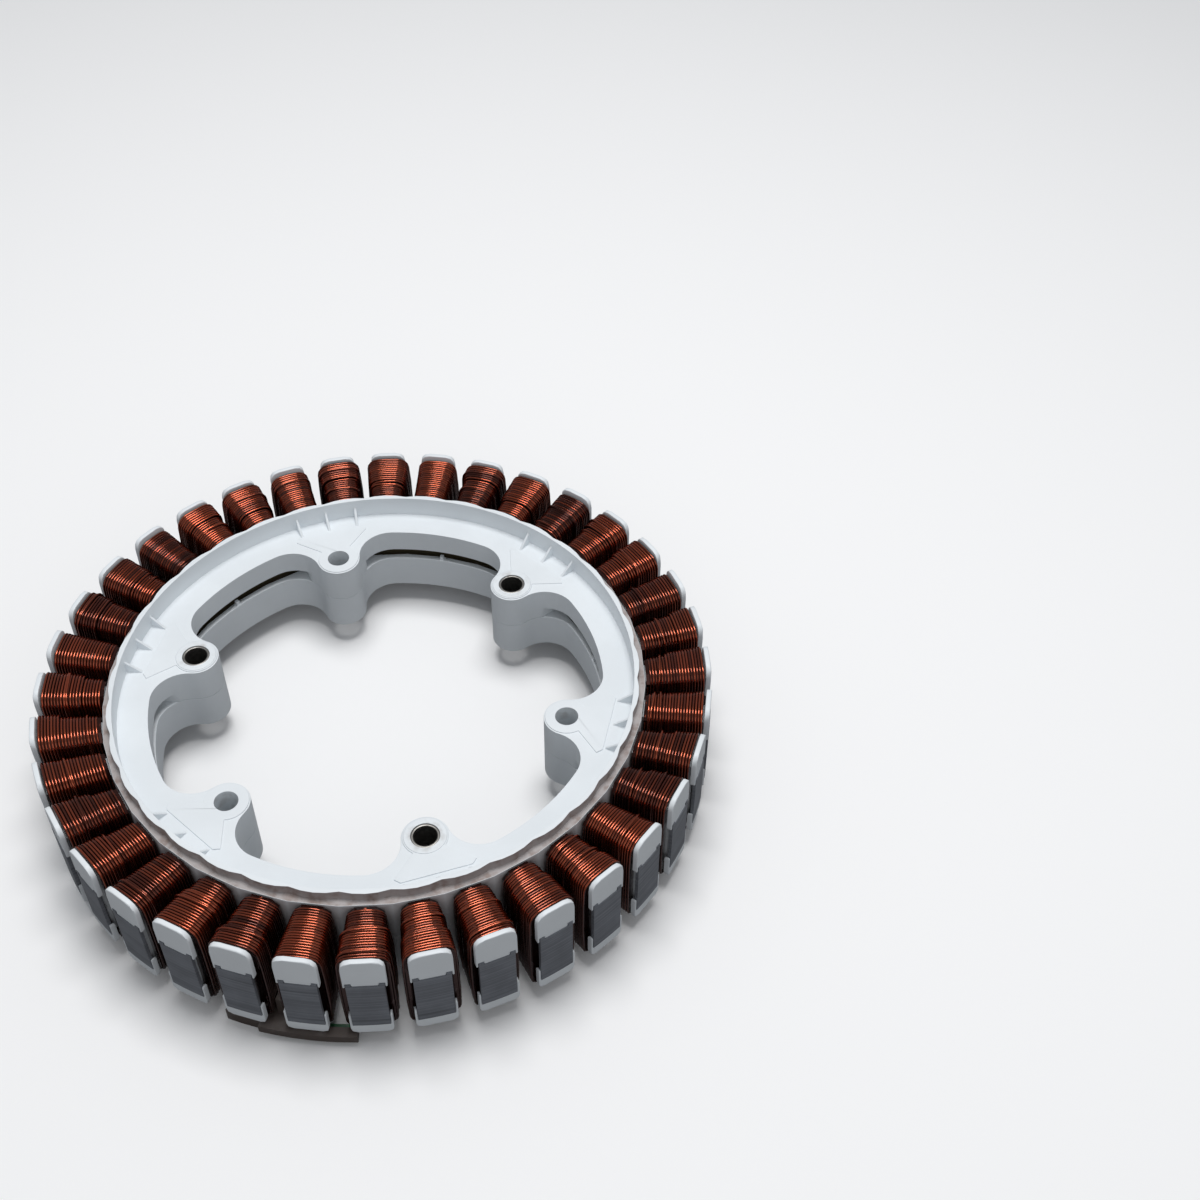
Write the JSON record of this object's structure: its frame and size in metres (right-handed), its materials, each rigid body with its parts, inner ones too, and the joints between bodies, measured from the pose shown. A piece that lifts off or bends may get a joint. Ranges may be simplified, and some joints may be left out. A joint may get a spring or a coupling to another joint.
{
  "type": "wound stator",
  "caption": "Ring-shaped wound stator: steel laminations between white moulded insulators, a copper coil on each tooth and bolt bosses round the open middle.",
  "frame": {"origin": "centre of the bolt circle, in the plane of the boss faces that seat on the machine", "axes": "+Z along the axis, away from the machine and towards the rotor; +Y through a plain boss"},
  "size_m": [0.2638, 0.2638, 0.052],
  "materials": {
    "laminations": "stacked lamination edges, dull blue-grey",
    "white_moulding": "satin moulded, slightly blue white",
    "enamelled_copper": "copper wire under glossy red-brown enamel",
    "sleeve_steel": "turned steel, bright end face",
    "brown_moulding": "dark brown moulded",
    "circuit_board": "solder mask",
    "black_moulding": "moulded chip package",
    "tinned_brass": "tin plated"
  },
  "bodies": {
    "root": {"bolt_sleeve_front": "sleeve_steel", "bolt_sleeve_left": "sleeve_steel", "bolt_sleeve_right": "sleeve_steel", "coil_u_01": "enamelled_copper", "coil_u_02": "enamelled_copper", "coil_u_03": "enamelled_copper", "coil_u_04": "enamelled_copper", "coil_u_05": "enamelled_copper", "coil_u_06": "enamelled_copper", "coil_u_07": "enamelled_copper", "coil_u_08": "enamelled_copper", "coil_u_09": "enamelled_copper", "coil_u_10": "enamelled_copper", "coil_u_11": "enamelled_copper", "coil_u_12": "enamelled_copper", "coil_v_01": "enamelled_copper", "coil_v_02": "enamelled_copper", "coil_v_03": "enamelled_copper", "coil_v_04": "enamelled_copper", "coil_v_05": "enamelled_copper", "coil_v_06": "enamelled_copper", "coil_v_07": "enamelled_copper", "coil_v_08": "enamelled_copper", "coil_v_09": "enamelled_copper", "coil_v_10": "enamelled_copper", "coil_v_11": "enamelled_copper", "coil_v_12": "enamelled_copper", "coil_w_01": "enamelled_copper", "coil_w_02": "enamelled_copper", "coil_w_03": "enamelled_copper", "coil_w_04": "enamelled_copper", "coil_w_05": "enamelled_copper", "coil_w_06": "enamelled_copper", "coil_w_07": "enamelled_copper", "coil_w_08": "enamelled_copper", "coil_w_09": "enamelled_copper", "coil_w_10": "enamelled_copper", "coil_w_11": "enamelled_copper", "coil_w_12": "enamelled_copper", "crossovers_u": "enamelled_copper", "crossovers_v": "enamelled_copper", "crossovers_w": "enamelled_copper", "laminated_core": "laminations", "lower_insulator": "white_moulding", "phase_terminals": "tinned_brass", "sensor_board": "circuit_board", "sensor_chips": "black_moulding", "sensor_housing": "brown_moulding", "sensor_pins": "tinned_brass", "terminal_block": "white_moulding", "upper_insulator": "white_moulding"}
  },
  "joints": []
}
